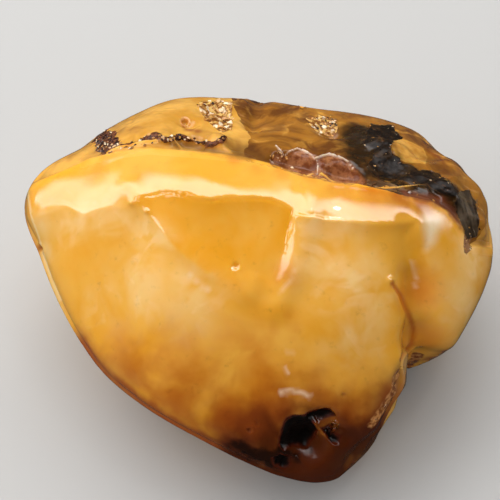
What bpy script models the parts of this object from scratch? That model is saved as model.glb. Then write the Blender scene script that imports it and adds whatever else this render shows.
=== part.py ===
"""A raw amber lump: one solid nugget, worn to rounded faces, with one face left in its crust.

The lump rests on a small flat worn face at Z = 0. +X is to the right, +Y to the back, +Z up.
It starts as a sphere. The sphere is pushed out to a ring of worn faces, the raw face is cut
into it, and then bowls, grooves, ridges and crust are pressed into the skin.

Lengths in the tables are in millimetres, and MM turns the finished mesh into metres.
A spot on the skin is given as (compass, slope): the compass direction from the heart in
degrees, where 0 faces the front, 90 the right and 180 the back, and the slope above the horizon.
"""

import math

import bmesh
import bpy
from mathutils import Vector, noise

MM = 0.001
NAME = "amber_lump"

# Driving dimensions of the whole lump.
LENGTH = 69.0  # along X
DEPTH = 59.0  # along Y
HEIGHT = 34.0  # along Z

HEART = Vector((0.0, 0.0, 17.0))  # every face and spot is measured from here
SPHERE_STEPS = 5  # subdivisions of the sphere that the lump starts as
ROUNDING = 12.0  # how sharp the edges between worn faces are
RAW_EDGE = 20.0  # the same for the edge round the raw face

# The worn faces: compass direction, slope, and distance from the heart.
WORN_FACES = {
    "crown": (180, 81, 18.4),
    "crown left": (-100, 80, 19.2),
    "crown right": (95, 77, 19.4),
    "front upper": (0, 62, 15.6),
    "front lower": (0, 42, 17.2),
    "front left": (-42, 48, 18.0),
    "front right": (45, 50, 18.8),
    "left shoulder": (-95, 55, 26.4),
    "left side": (-68, 0, 30.3),
    "left corner": (-105, 0, 41.0),
    "left back shoulder": (-134, 48, 25.0),
    "front left corner": (-55, -20, 28.1),
    "front left side": (-30, -20, 26.0),
    "tip": (14, -18, 36.0),
    "front right side": (49, -10, 28.2),
    "right lobe underside": (66, -22, 29.6),
    "right side": (85, -5, 37.5),
    "right shoulder": (90, 40, 28.5),
    "back right": (145, 35, 32.6),
    "right back": (115, 15, 33.8),
    "back": (178, 42, 31.4),
    "rear": (180, -10, 29.0),
    "under left": (-32, -50, 23.4),
    "under tip": (12, -58, 28.4),
    "under right": (80, -42, 28.2),
    "under left corner": (-88, -38, 27.0),
    "under back left": (-136, -40, 29.6),
    "under back": (176, -38, 27.2),
    "under back right": (136, -38, 29.4),
    "foot": (0, -90, 18.0),
}

# The raw face, which sinks behind its front edge and climbs back towards the rear.
RAW_FACE = (163, 63, 16.6)
RAW_SINK = 1.6
RAW_SINK_START = 4.0  # Y where the sunk part is deepest
RAW_SINK_END = 22.0  # Y where it has come back up

# Bowls: spot, radius and depth. A depth below zero is a lump.
BOWLS = {
    "front hollow": (-41, 62, 8.5, 0.9),
    "right cheek": (47, 30, 9.0, -0.6),
    "left cheek": (-55, 26, 9.0, -0.5),
    "tip flank": (46, -10, 9.5, 2.2),
    "left corner swell": (-108, 10, 11.0, -1.8),
    "shadow hollow": (-140, 43, 3.4, 1.5),
    "round pit": (-148, 30, 1.7, 1.3),
    "flake bed": (-164, 21, 3.8, 1.1),
    "tan lump": (-153, 43, 2.6, -1.2),
    "pocket left": (157, 51, 4.0, 2.4),
    "pocket right": (129, 43, 3.9, 2.3),
    "sparkle bed": (153, 18, 3.8, 1.1),
    "sparkle hole": (152, 20, 1.7, 1.3),
    "honey dip": (-179, 22, 5.5, 0.9),
    "crust block": (130, 22, 4.8, -1.4),
    "crust step": (118, 30, 3.4, 1.0),
    "amber window": (123, 15, 3.0, 1.2),
    "end block": (96, 15, 4.4, -0.9),
    "front cavity": (11, -7, 3.1, 2.6),
    "cavity arm": (18, -1, 2.0, 1.3),
    "low cavity": (7, -12, 2.3, 1.6),
    "small cavity": (20, -4, 1.5, 1.1),
    "lower small cavity": (22, -6, 1.6, 1.2),
    "left pit": (-92, 8, 1.8, 0.8),
    "rear dent": (-170, -10, 9.0, 1.4),
    "rear right dent": (138, -8, 7.0, 1.1),
    "rear left pit": (-150, 2, 3.0, 1.1),
    "under dent": (-80, -22, 8.0, 1.2),
}

# Grooves and ridges: half width, depth, and the spots they run through.
GROOVES = {
    "valley head": (3.2, 0.8, ((82, 35), (76, 28), (69, 23))),
    "right valley": (3.2, 1.6, ((69, 23), (61, 16), (56, 9))),
    "notch": (4.2, 3.8, ((56, 9), (55, 2), (57, -9), (58, -22), (60, -42))),
    "soft ridge left": (2.4, -0.5, ((-100, 38), (-83, 45), (-65, 47), (-34, 47), (-12, 43))),
    "soft ridge middle": (2.2, -0.5, ((70, 70), (33, 61), (20, 51), (5, 37))),
    "crust ledge": (1.6, -0.8, ((-116, 28), (-118, 32), (-124, 38), (-134, 42), (-146, 45), (-156, 51))),
    "black band": (1.8, -0.5, ((113, 29), (112, 25), (103, 25), (99, 22), (96, 16), (92, 11))),
    "rear seam": (1.8, 0.9, ((-175, 30), (-178, 10), (170, -8), (160, -30))),
}

# Crust: spot, radius, and the height of its lumps.
CRUSTS = {
    "left crust": (-121, 26, 4.6, 0.7),
    "ledge crust": (-134, 40, 4.5, 0.5),
    "flakes": (-164, 21, 4.4, 0.8),
    "pocket floor": (143, 46, 6.0, 0.6),
    "sparkle patch": (153, 18, 4.2, 0.8),
    "right crust": (127, 22, 6.5, 1.1),
    "band crust": (104, 25, 4.6, 0.8),
    "end crust": (95, 15, 5.5, 0.8),
    "tip crust": (10, -8, 6.5, 0.6),
    "notch crust": (45, 2, 4.0, 0.5),
    "rear crust": (-160, -4, 8.0, 0.7),
    "under crust": (70, -35, 7.0, 0.5),
}
CRUST_GRAIN = 2.6  # length of one crust lump

# The whole skin rolls gently, as a tumbled stone does.
ROLL_HEIGHT = 0.45
ROLL_LENGTH = 13.0
SEED_SHIFT = Vector((41.0, 7.0, 23.0))

# Regions that get smaller faces: spot and radius.
FINE_REGIONS = ((172, 40, 17.0), (-137, 38, 12.0), (122, 30, 15.0), (97, 14, 8.0), (13, -7, 7.5), (48, 0, 8.0))

AMBER_COLOUR = (0.78, 0.42, 0.09, 1.0)
AMBER_ROUGHNESS = 0.12


def direction(compass, slope):
    """The unit vector that points from the heart to a spot."""
    around = math.radians(compass)
    up = math.radians(slope)
    return Vector((math.sin(around) * math.cos(up), -math.cos(around) * math.cos(up), math.sin(up)))


WORN_NORMALS = [(direction(compass, slope), far) for compass, slope, far in WORN_FACES.values()]
RAW_NORMAL = direction(RAW_FACE[0], RAW_FACE[1])


def facings(way):
    """How strongly the worn faces and the raw face hold the skin in along a unit vector."""
    worn = sum(max(way.dot(normal) / far, 0.0) ** ROUNDING for normal, far in WORN_NORMALS)
    raw = max(way.dot(RAW_NORMAL) / RAW_FACE[2], 0.0)
    return worn ** (1.0 / ROUNDING), raw


def on_form(way):
    """The point of the plain form, without relief, along a unit vector from the heart."""
    worn, raw = facings(way)
    held = (worn**RAW_EDGE + raw**RAW_EDGE) ** (1.0 / RAW_EDGE)
    return HEART + way / held


def ease(share):
    """0 at 0 and 1 at 1, level at both ends."""
    share = min(max(share, 0.0), 1.0)
    return share * share * (3.0 - 2.0 * share)


def raw_sink(way, point):
    """How far the raw face is hollowed behind its front edge."""
    worn, raw = facings(way)
    inside = ease((raw / worn - 1.0) / 0.06)
    return RAW_SINK * inside * ease((RAW_SINK_END - point.y) / (RAW_SINK_END - RAW_SINK_START))


def bowl_depth(point):
    depth = 0.0
    for place, radius, deepest in BOWL_PLACES:
        depth += deepest * ease(1.15 * (1.0 - (point - place).length / radius))
    return depth


def groove_depth(point):
    """The deepest groove and the highest ridge at a point: where two grooves meet they don't add up."""
    depths = [0.0]
    for places, half_width, deepest in GROOVE_PLACES:
        nearest = min(distance_to_run(point, a, b) for a, b in zip(places, places[1:]))
        depths.append(deepest * ease(1.0 - nearest / half_width))
    return max(depths) + min(depths)


def distance_to_run(point, start, end):
    """Distance from a point to the straight run between two others."""
    run = end - start
    share = min(max((point - start).dot(run) / run.length_squared, 0.0), 1.0)
    return (point - start - run * share).length


def crust_height(point):
    cover = 0.0
    for place, radius, height in CRUST_PLACES:
        cover = max(cover, height * ease(1.4 * (1.0 - (point - place).length / radius)))
    if not cover:
        return 0.0
    lumps = noise.noise(point / CRUST_GRAIN + SEED_SHIFT)
    grit = noise.noise(point / (0.45 * CRUST_GRAIN) - SEED_SHIFT)
    return cover * (lumps + 0.5 * grit)


def roll(point):
    return ROLL_HEIGHT * noise.noise(point / ROLL_LENGTH + SEED_SHIFT)


BOWL_PLACES = [(on_form(direction(c, s)), radius, depth) for c, s, radius, depth in BOWLS.values()]
GROOVE_PLACES = [([on_form(direction(c, s)) for c, s in spots], half_width, depth)
                 for half_width, depth, spots in GROOVES.values()]
CRUST_PLACES = [(on_form(direction(c, s)), radius, height) for c, s, radius, height in CRUSTS.values()]
FINE_PLACES = [(on_form(direction(c, s)), radius) for c, s, radius in FINE_REGIONS]


def push_to_form(lump):
    for vert in lump.verts:
        vert.co = on_form((vert.co - HEART).normalized())
    lump.normal_update()


def make_form():
    """A sphere pushed out to the plain form, with smaller faces where the crust is."""
    lump = bmesh.new()
    bmesh.ops.create_icosphere(lump, subdivisions=SPHERE_STEPS, radius=1.0)
    bmesh.ops.translate(lump, verts=lump.verts, vec=HEART)
    push_to_form(lump)
    fine_edges = {edge for face in lump.faces for edge in face.edges
                  if any((face.calc_center_median() - place).length < radius for place, radius in FINE_PLACES)}
    bmesh.ops.subdivide_edges(lump, edges=list(fine_edges), cuts=1, use_grid_fill=True)
    bmesh.ops.triangulate(lump, faces=lump.faces)
    push_to_form(lump)
    return lump


def press_relief(lump):
    """Moves each vertex in or out along the plain form's own normal."""
    moves = []
    for vert in lump.verts:
        point = vert.co.copy()
        sink = raw_sink((point - HEART).normalized(), point) + bowl_depth(point) + groove_depth(point)
        moves.append(vert.normal * (roll(point) + crust_height(point) - sink))
    for vert, move in zip(lump.verts, moves):
        vert.co += move


def cut_foot(lump):
    """Cuts the flat worn face that the lump rests on, at Z = 0."""
    geometry = lump.verts[:] + lump.edges[:] + lump.faces[:]
    cut = bmesh.ops.bisect_plane(lump, geom=geometry, plane_co=(0, 0, 0), plane_no=(0, 0, -1), clear_outer=True)
    rim = [part for part in cut["geom_cut"] if isinstance(part, bmesh.types.BMEdge)]
    bmesh.ops.holes_fill(lump, edges=rim)
    bmesh.ops.recalc_face_normals(lump, faces=lump.faces)


def fit_box(lump):
    """Brings the lump to its driving dimensions, with its origin under its middle."""
    low = Vector([min(vert.co[axis] for vert in lump.verts) for axis in range(3)])
    high = Vector([max(vert.co[axis] for vert in lump.verts) for axis in range(3)])
    middle = Vector(((low.x + high.x) / 2, (low.y + high.y) / 2, low.z))
    wanted = Vector((LENGTH, DEPTH, HEIGHT))
    share = Vector([wanted[axis] / (high - low)[axis] for axis in range(3)])
    bmesh.ops.translate(lump, verts=lump.verts, vec=-middle)
    bmesh.ops.scale(lump, verts=lump.verts, vec=share * MM)


def amber_material():
    amber = bpy.data.materials.new("amber")
    amber.use_nodes = True
    shader = amber.node_tree.nodes["Principled BSDF"]
    shader.inputs["Base Color"].default_value = AMBER_COLOUR
    shader.inputs["Roughness"].default_value = AMBER_ROUGHNESS
    shader.inputs["Metallic"].default_value = 0.0
    amber.diffuse_color = AMBER_COLOUR
    return amber


def main():
    for obj in list(bpy.data.objects):
        bpy.data.objects.remove(obj)
    lump = make_form()
    press_relief(lump)
    cut_foot(lump)
    fit_box(lump)
    mesh = bpy.data.meshes.new(NAME)
    lump.to_mesh(mesh)
    lump.free()
    mesh.materials.append(amber_material())
    mesh.shade_smooth()
    obj = bpy.data.objects.new(NAME, mesh)
    collection = bpy.data.collections.new("raw_amber_piece")
    bpy.context.scene.collection.children.link(collection)
    collection.objects.link(obj)


main()
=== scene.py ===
# %% [markdown]
# # A raw amber piece
#
# Raw amber is fossil resin. This piece is the cloudy, butter-coloured kind: the resin is so full of tiny bubbles
# that light soaks in a few millimetres and comes back out golden. Most of the lump has been worn and polished to
# soft facets. One face at the back was left as it was dug up, with dark rind, straw-coloured flakes, frothy pits
# and a clearer, honey-brown stretch.
#
# The solid lump comes from the CAD frame. This script takes a copy of it, gives the copy a finer mesh, carves the
# small relief into its skin, paints it with one layered material, and scatters loose crumbs of crust on top.

import math
import random

import bpy
import numpy as np
from mathutils import Matrix, Vector, noise


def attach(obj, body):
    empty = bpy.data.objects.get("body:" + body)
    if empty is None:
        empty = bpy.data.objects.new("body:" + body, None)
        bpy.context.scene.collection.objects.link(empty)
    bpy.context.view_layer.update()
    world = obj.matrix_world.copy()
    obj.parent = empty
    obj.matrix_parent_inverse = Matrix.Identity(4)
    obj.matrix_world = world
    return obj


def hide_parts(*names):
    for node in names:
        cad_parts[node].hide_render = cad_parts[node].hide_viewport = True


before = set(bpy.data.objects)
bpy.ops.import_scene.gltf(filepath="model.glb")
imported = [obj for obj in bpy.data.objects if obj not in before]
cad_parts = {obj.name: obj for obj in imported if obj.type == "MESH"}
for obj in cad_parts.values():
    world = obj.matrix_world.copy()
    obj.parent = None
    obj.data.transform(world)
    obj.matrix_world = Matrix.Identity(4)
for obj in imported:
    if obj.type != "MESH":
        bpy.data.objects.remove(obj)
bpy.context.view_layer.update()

MM = 0.001
random.seed(7)
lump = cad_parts["amber_lump"]

# %% [markdown]
# ## The camera
#
# The lump lies on a table and is looked at from its front, 55 degrees down, from about a hand's width away. The
# near camera matters: a part close to the lens looks larger than the same part at the back. The eye point is
# kept as a value, because the outlines of the crust are drawn as seen from it.

# %% The camera
LOOK_DOWN = math.radians(55)
CAMERA_DISTANCE = 123 * MM
LENS, SENSOR = 60, 36
AIM = Vector((-1.15, 2.66, 16.7)) * MM

gaze = Vector((0, math.cos(LOOK_DOWN), -math.sin(LOOK_DOWN)))
eye = AIM - gaze * CAMERA_DISTANCE
camera_data = bpy.data.cameras.new("camera")
camera_data.lens, camera_data.sensor_width = LENS, SENSOR
camera_data.clip_start, camera_data.clip_end = 0.005, 20
camera = bpy.data.objects.new("camera", camera_data)
camera.location = eye
camera.rotation_euler = gaze.to_track_quat("-Z", "Y").to_euler()
bpy.context.scene.collection.objects.link(camera)
bpy.context.scene.camera = camera
print("eye point, mm:", [round(1000 * value, 1) for value in eye])

# %% [markdown]
# ## Short names for shader nodes
#
# The sky, the floor and the amber are all built from nodes. A few small helpers make a node, plug a socket and do
# sums, so that each finish below reads as a recipe. They all work on the node tree that is named `tree` just then.

# %% Nodes and sums
def node(kind, **settings):
    made = tree.nodes.new("ShaderNode" + kind)
    for name, value in settings.items():
        setattr(made, name, value)
    return made


def feed(socket, value):
    """Plugs a socket into another, or sets a plain value on it."""
    if isinstance(value, bpy.types.NodeSocket):
        tree.links.new(value, socket)
    else:
        socket.default_value = value


def maths(operation, first, second=0.0, third=0.0):
    made = node("Math", operation=operation)
    for socket, value in zip(made.inputs, (first, second, third)):
        feed(socket, value)
    return made.outputs["Value"]


def times(*values):
    """Multiplies values, so that a mark shows only where all of them are strong."""
    product = values[0]
    for value in values[1:]:
        product = maths("MULTIPLY", product, value)
    return product


def most(*values):
    """The largest of several values at each place."""
    largest = values[0]
    for value in values[1:]:
        largest = maths("MAXIMUM", largest, value)
    return largest


def between(value, low, high):
    """Stretches a value so that low gives 0 and high gives 1, with soft ends. Low may be the larger of the two."""
    made = node("MapRange", interpolation_type="SMOOTHSTEP")
    feed(made.inputs["Value"], value)
    feed(made.inputs["From Min"], low)
    feed(made.inputs["From Max"], high)
    return made.outputs["Result"]


# %% Colours
FIRST_COLOUR, SECOND_COLOUR, MIXED_COLOUR = 6, 7, 2  # where a Mix node keeps its colours


def blend(share, first, second):
    made = node("Mix", data_type="RGBA")
    feed(made.inputs["Factor"], share)
    feed(made.inputs[FIRST_COLOUR], first)
    feed(made.inputs[SECOND_COLOUR], second)
    return made.outputs[MIXED_COLOUR]


def srgb(red, green, blue):
    """A colour named by its 0 to 255 screen values, as the linear values that a shader wants."""
    shares = [value / 255 for value in (red, green, blue)]
    return (*[s / 12.92 if s <= 0.04045 else ((s + 0.055) / 1.055) ** 2.4 for s in shares], 1.0)


def lay(below, coats):
    """Lays coats over a colour, one after another. Each is a share and a tone: screen values, or another blend."""
    for share, tone in coats:
        below = blend(share, below, srgb(*tone) if isinstance(tone, tuple) else tone)
    return below


print("a butter yellow of 246, 200, 124 on the screen is", [round(value, 2) for value in srgb(246, 200, 124)[:3]])

# %% [markdown]
# ## The sky
#
# Polished amber shows its shape by what it mirrors, so the sky matters more than the lamps. Light that falls on
# the lump comes from a plain soft glow, which is brightest behind it, high up and to the left. What its polish
# mirrors is made apart from that in the next steps, as in a dark room with one long lamp.

# %% The soft glow
world = bpy.data.worlds.new("studio")
world.use_nodes = True
bpy.context.scene.world = world
bpy.context.scene.view_settings.view_transform = "Standard"
tree = world.node_tree
toward = node("SeparateXYZ")
feed(toward.inputs[0], node("TexCoord").outputs["Generated"])
across, back, up = toward.outputs
BRIGHTEST_WAY = (-0.34, 0.40, 0.89)  # across, back and up
DARK_SIDE, BRIGHT_SIDE = 0.16, 1.02
brightness = maths("MULTIPLY", across, BRIGHTEST_WAY[0])
brightness = maths("MULTIPLY_ADD", back, BRIGHTEST_WAY[1], brightness)
brightness = maths("MULTIPLY_ADD", up, BRIGHTEST_WAY[2], brightness)
sky_glow = maths("MULTIPLY_ADD", between(brightness, -0.1, 1.0), BRIGHT_SIDE, DARK_SIDE)
print("sky glow from", DARK_SIDE, "to", round(DARK_SIDE + BRIGHT_SIDE, 2))

# %% [markdown]
# ## The long strip overhead
#
# A long soft strip overhead, a little behind the lump, draws the bright band along its crown, and the worn facets
# below turn away from it and stay clear. A curve says how far back the strip reaches from left to right, so that
# the band swells and narrows along the crown. A lamp with such a shape would be hard to model. Painted on the sky,
# it is a few sums, and its ends can be as soft as they need to be.

# %% The strip
# how far back the strip reaches, for places across the sky from -1, left, to 1, right
STRIP_DEPTH = [(-1.0, 0.42), (-0.8, 0.50), (-0.7, 0.60), (-0.2, 0.60), (-0.07, 0.42), (0.1, 0.54), (0.3, 0.45),
               (0.42, 0.34), (0.6, 0.26), (1.0, 0.22)]
depth = node("FloatCurve")
curve = depth.mapping.curves[0]
for place, reach in STRIP_DEPTH[1:-1]:
    curve.points.new((place + 1) / 2, reach)
for point, (place, reach) in zip(curve.points, STRIP_DEPTH):
    point.location = ((place + 1) / 2, reach)
    point.handle_type = "VECTOR"
depth.mapping.update()
feed(depth.inputs["Value"], maths("MULTIPLY_ADD", across, 0.5, 0.5))
beyond = maths("SUBTRACT", back, depth.outputs["Value"])
DIM_END = 0.65  # the left end of the strip is dimmer
right_glow = maths("MULTIPLY_ADD", between(across, -0.8, -0.3), 1 - DIM_END, DIM_END)
from_middle = maths("ABSOLUTE", across)
# its near edge, its far edge, its two ends, the horizon, and how bright it is
strip = times(between(back, 0.03, 0.11), between(beyond, 0.13, -0.10), between(from_middle, 0.98, 0.93),
              between(up, 0.0, 0.1), right_glow)
print("strip curve:", len(curve.points), "points")

# %% [markdown]
# ## What mirrors see
#
# A narrow side window draws the two short streaks on the ridges. Mirrors see the strip and this window bright, and
# the rest of the sky and the floor dim. The Light Path node tells a mirrored ray from one that only lights a
# surface, so that the strip doesn't flood the whole table.

# %% What mirrors see
turn = maths("ARCTAN2", up, back)  # how high, as an angle from the back
side = times(between(across, -0.76, -0.68), between(across, -0.46, -0.54), between(turn, 1.57, 1.66),
             between(turn, 1.90, 1.83))
STRIP_GLOW, SIDE_SHARE, SKY_SHARE = 5.6, 0.8, 0.11
mirror_glow = maths("MULTIPLY_ADD", most(strip, maths("MULTIPLY", side, SIDE_SHARE)), STRIP_GLOW,
                    maths("MULTIPLY", sky_glow, SKY_SHARE))
glow = node("Mix", data_type="FLOAT")
feed(glow.inputs["Factor"], node("LightPath").outputs["Is Glossy Ray"])
feed(glow.inputs[2], sky_glow)
feed(glow.inputs[3], mirror_glow)
feed(tree.nodes["Background"].inputs["Strength"], glow.outputs[0])
feed(tree.nodes["Background"].inputs["Color"], (0.98, 0.98, 1.0, 1))
print("sky:", len(tree.nodes), "nodes")

# %% [markdown]
# ## The lights and the floor
#
# A wide window behind the lump, a fill at the left and a small lamp do the plain lighting. The two wide panels
# stay out of mirrors, where they would draw squares on the polish. The floor is a plain pale plane, and it is part
# of the stage, so it isn't exported with the stone. It looks darker in mirrors than it is, as the sky does.

# %% The lights
def way_of(compass, slope):
    """A direction. Compass 0 is in front, 90 at the right and 180 behind, and slope is in degrees above level."""
    around, rise = math.radians(compass), math.radians(slope)
    return np.array((math.sin(around) * math.cos(rise), -math.cos(around) * math.cos(rise), math.sin(rise)))


PANEL_DISTANCE = 0.60  # m


def panel(name, compass, slope, size, watts, mirrored=False):
    """A soft rectangular light that faces the lump."""
    light = bpy.data.lights.new(name, "AREA")
    light.shape = "RECTANGLE"
    light.size, light.size_y = size
    light.energy = watts
    way = Vector(way_of(compass, slope))
    placed = bpy.data.objects.new(name, light)
    placed.location = AIM + way * PANEL_DISTANCE
    placed.rotation_euler = (-way).to_track_quat("-Z", "Y").to_euler()
    placed.visible_glossy = mirrored
    bpy.context.scene.collection.objects.link(placed)


panel("window", -158, 52, (0.80, 0.30), 2.6)
panel("lamp", 127, 70, (0.035, 0.05), 0.12, mirrored=True)
panel("fill", -70, 30, (0.40, 0.30), 0.55)

# %% The floor
bpy.ops.object.select_all(action="DESELECT")
bpy.ops.mesh.primitive_plane_add(size=6, location=(0, 0, 0))
floor = bpy.context.active_object
floor.name = "floor"
floor_paint = bpy.data.materials.new("pale floor")
floor_paint.use_nodes = True
tree = floor_paint.node_tree
floor_shader = tree.nodes["Principled BSDF"]
floor_tone, floor_in_mirrors = srgb(186, 185, 182), srgb(46, 44, 42)
feed(floor_shader.inputs["Base Color"],
     blend(node("LightPath").outputs["Is Glossy Ray"], floor_tone, floor_in_mirrors))
feed(floor_shader.inputs["Roughness"], 0.8)
floor.data.materials.append(floor_paint)
print("floor, m:", tuple(floor.dimensions)[:2])

# %% [markdown]
# ## The skin
#
# The CAD solid has nearly nine thousand triangles, enough for its faces, ledges and pits. The skin starts as a
# copy of it, so that the solid itself stays as it is. A shape drawn anew by hand would stray from the solid's size.

# %% A copy of the solid
bpy.ops.object.select_all(action="DESELECT")
body = bpy.data.objects.new("amber_body", lump.data.copy())
bpy.context.scene.collection.objects.link(body)
bpy.context.view_layer.objects.active = body
body.select_set(True)
bpy.ops.object.mode_set(mode="EDIT")
bpy.ops.mesh.select_all(action="SELECT")
bpy.ops.mesh.remove_doubles(threshold=1e-6)
bpy.ops.object.mode_set(mode="OBJECT")


def points_of(obj):
    found = np.empty(3 * len(obj.data.vertices))
    obj.data.vertices.foreach_get("co", found)
    return found.reshape(-1, 3)


def normals_of(obj):
    found = np.empty(3 * len(obj.data.vertices))
    obj.data.vertex_normals.foreach_get("vector", found)
    return found.reshape(-1, 3)


print("merged copy:", len(points_of(body)), "vertices,", len(body.data.polygons), "triangles")

# %% [markdown]
# ## A stencil held up at the eye point
#
# Crust, pits and facets have outlines too odd for primitives. They are drawn as on a flat stencil that is held up
# at the eye point: a sheet 500 units wide and high, counted from its top left corner. To know what a point of the
# skin carries, it is enough to find where it is seen on the sheet, and how far that spot is from each line.

# %% The sheet
SHEET = 500  # the sheet is 500 units wide and high
UNIT = 0.145 * MM  # what one unit of the sheet measures on the lump


def on_sheet(points):
    """Where points are seen from the eye point, in sheet units: across from the left, and down from the top."""
    from_eye = points - np.array(eye)
    depth = from_eye @ np.array(gaze)
    upward = np.array((0, math.sin(LOOK_DOWN), math.cos(LOOK_DOWN)))
    scale = LENS / SENSOR * SHEET / depth
    return np.stack([SHEET / 2 + from_eye[:, 0] * scale, SHEET / 2 - from_eye @ upward * scale], axis=1)


def facing_eye(points, ways):
    """1 where the skin faces the eye point squarely, 0 where it is seen from its edge, and below 0 behind."""
    to_eye = np.array(eye) - points
    return np.einsum("ij,ij->i", ways, to_eye) / np.linalg.norm(to_eye, axis=1)


def along(line, points):
    """Distance of each point to a line of several corners, in the units of the points."""
    corners = np.array(line, float)
    nearest = np.full(len(points), 1e9)
    for start, end in zip(corners, corners[1:]):
        run = end - start
        share = np.clip((points - start) @ run / max(run @ run, 1e-12), 0, 1)
        nearest = np.minimum(nearest, np.linalg.norm(points - start - share[:, None] * run, axis=1))
    return nearest


def inside(outline, points):
    """Distance of each point to a closed outline, in sheet units: above zero inside it, below zero outside."""
    corners = np.array(outline, float)
    odd = np.zeros(len(points), bool)
    for start, end in zip(corners, np.roll(corners, -1, axis=0)):
        crosses = (start[1] > points[:, 1]) != (end[1] > points[:, 1])
        level = (points[:, 1] - start[1]) / (end[1] - start[1] if end[1] != start[1] else 1e-9)
        odd ^= crosses & (points[:, 0] < start[0] + level * (end[0] - start[0]))
    nearest = along(list(outline) + [outline[0]], points)
    return np.where(odd, nearest, -nearest)


def ease(share):
    """Runs from 0 to 1 as the share does, with soft ends."""
    share = np.clip(share, 0, 1)
    return share * share * (3 - 2 * share)


middle = on_sheet(points_of(body)).mean(axis=0)
print("the lump's points lie round", [round(float(value)) for value in middle], "on the sheet")

# %% [markdown]
# ## The outlines of the raw face
#
# The raw face starts at the rim behind the crown and takes all that lies past it. On it lie the dark rind with its
# fibrous block, the torn rind and ledge at the left, two beds of flakes and the clearer honey stretch.

# %% The raw face and its crust
RAW_FACE = [(27, 186), (60, 172), (90, 158), (120, 152), (150, 148), (200, 152), (240, 156), (270, 163), (300, 170),
            (340, 179), (370, 187), (400, 193), (430, 200), (450, 212), (462, 228), (468, 246), (500, 250), (500, 60),
            (20, 60)]
RIND = [(371, 123), (382, 126), (392, 126), (398, 132), (402, 138), (395, 140), (390, 144), (392, 151), (397, 157),
        (403, 163), (410, 164), (418, 170), (430, 172), (440, 174), (450, 182), (458, 192), (453, 196), (437, 191),
        (416, 184), (396, 178), (376, 176), (366, 168), (372, 158), (374, 150), (364, 144), (367, 135)]
FIBRE_BLOCK = [(456, 200), (461, 190), (469, 190), (476, 203), (479, 222), (477, 237), (470, 238), (464, 226),
               (459, 213)]
BLOCK_TAIL = [(465, 235), (472, 236), (470, 250), (466, 256), (463, 246)]
LEFT_RIND = [(94, 145), (95, 133), (106, 129), (115, 133), (119, 140), (123, 144), (113, 149), (104, 152)]
LEDGE = [(98, 147), (120, 144), (139, 141), (156, 135), (166, 139), (180, 137), (191, 140), (199, 142), (212, 143),
         (223, 139)]
LEDGE_SHADOW = [(172, 142), (186, 144), (200, 147), (214, 150), (230, 154), (250, 159)]
FLAKE_BED = [(199, 103), (208, 100), (221, 100), (231, 103), (232, 118), (232, 130), (222, 132), (212, 125),
             (204, 118), (199, 112)]
SPARKLE_BED = [(306, 118), (320, 116), (337, 118), (338, 130), (334, 138), (322, 134), (311, 128)]
WINDOW_PATCH = [(391, 141), (400, 139), (412, 141), (423, 146), (428, 156), (425, 164), (415, 163), (405, 163),
                (398, 158), (393, 150)]
HONEY = [(231, 90), (233, 104), (238, 114), (245, 126), (250, 138), (246, 152), (258, 161), (300, 176), (345, 190),
         (400, 203), (446, 216), (462, 226), (468, 246), (476, 240), (486, 224), (486, 190), (520, 150), (430, 60),
         (240, 60)]
print("raw face: an outline of", len(RAW_FACE), "corners")

# %% The open pocket and the bands below the rind
POCKET = [(272, 163), (276, 153), (289, 154), (295, 149), (304, 149), (311, 153), (316, 157), (322, 155), (330, 153),
          (340, 155), (348, 160), (355, 168), (364, 179), (350, 184), (325, 180), (300, 175), (285, 169)]
POCKET_LIPS = [[(276, 146), (281, 151), (285, 155), (290, 151), (297, 148), (304, 150), (311, 154), (315, 158)],
               [(317, 157), (323, 155), (330, 153), (340, 156), (348, 161), (353, 168)],
               [(316, 157), (317, 164), (315, 170)],
               [(272, 158), (276, 161), (281, 164)]]
BUBBLE_BED = [(268, 150), (294, 150), (300, 168), (276, 168)]
GREY_BAND = [(366, 177), (384, 180), (404, 186), (425, 192), (440, 198), (436, 201), (410, 197), (385, 190),
             (368, 184)]
RED_BAND = [(404, 188), (430, 192), (446, 198), (458, 212), (464, 232), (458, 228), (448, 212), (430, 203),
            (404, 196)]
print("pocket lips:", len(POCKET_LIPS))

# %% [markdown]
# ## The burnt tip and the worn facets
#
# Burnt resin at the near tip has three hollows with a charred patch round them. Wear has cut the rest of the lump
# into facets. Where two of them meet there is a crisp line, so each facet is given by its edges.

# %% The burnt tip
CAVITIES = [[(283, 424), (292, 417), (302, 416), (312, 414), (330, 411), (334, 417), (322, 420), (315, 424),
             (316, 436), (306, 446), (296, 447), (286, 451), (278, 446), (281, 436)],
            [(322, 428), (330, 425), (335, 431), (343, 437), (342, 444), (333, 443), (326, 436)],
            [(271, 460), (282, 456), (292, 459), (293, 467), (286, 472), (274, 470)]]
CHAR = [(226, 450), (240, 444), (256, 446), (268, 450), (280, 446), (292, 450), (306, 452), (296, 462), (294, 472),
        (276, 474), (262, 468), (244, 462), (232, 458)]
print("cavities:", len(CAVITIES))

# %% The worn facets
LEFT_TOP = [(30, 216), (37, 214), (45, 210), (53, 206), (65, 204), (73, 206), (79, 209), (84, 212), (90, 209),
            (100, 206), (111, 204), (120, 205), (127, 203), (134, 199)]
RIDGE_LEFT = [(134, 199), (138, 205), (147, 215), (160, 230), (168, 241), (178, 251), (192, 262), (208, 274)]
GOLD_TOP = [(134, 199), (143, 195), (154, 193), (164, 191), (178, 192), (189, 195), (201, 199), (214, 200),
            (227, 198), (240, 198), (257, 198), (272, 199), (284, 204), (293, 210)]
RIDGE_MIDDLE = [(293, 210), (291, 222), (287, 236), (285, 250), (279, 262), (268, 277)]
RIGHT_TOP = [(293, 210), (304, 213), (314, 214), (325, 216), (353, 219), (375, 221), (393, 221), (407, 219),
             (417, 218), (422, 222), (420, 227), (422, 233), (424, 241), (426, 250)]
SIDE_EDGE = [(27, 188), (31, 214), (36, 236), (41, 258), (48, 280), (58, 302), (72, 326)]
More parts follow.
